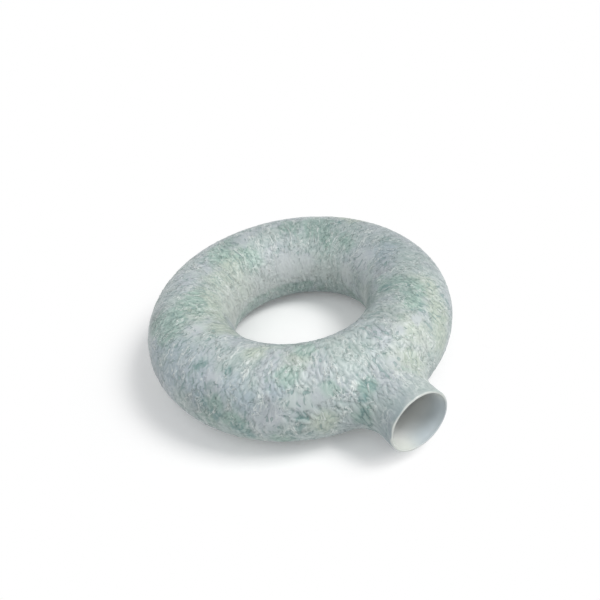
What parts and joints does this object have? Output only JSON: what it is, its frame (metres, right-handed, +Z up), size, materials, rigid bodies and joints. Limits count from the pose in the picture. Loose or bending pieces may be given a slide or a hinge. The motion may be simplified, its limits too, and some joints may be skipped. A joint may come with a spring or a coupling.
{
  "type": "donut vase",
  "caption": "Ring-shaped hollow ceramic vase with a short open neck and a flat foot opposite it; mottled green and grey glaze over pressed relief.",
  "frame": {"origin": "on the surface the ring lies on, under the middle of the bounding box", "axes": "+Z up, along the ring's axis as the vase lies on its side; -Y from the foot to the neck's mouth; +X to the right seen from the neck"},
  "size_m": [0.22, 0.241, 0.062],
  "materials": {
    "mottled_glaze": "celadon green and lilac-grey glaze pooled in pressed relief, satin gloss",
    "neck_glaze": "blue-grey glaze that thins to a pale rim, glossy white-grey glaze inside"
  },
  "bodies": {
    "root": {"ring_upper_half": "mottled_glaze", "ring_lower_half": "mottled_glaze", "neck": "neck_glaze"}
  },
  "joints": []
}
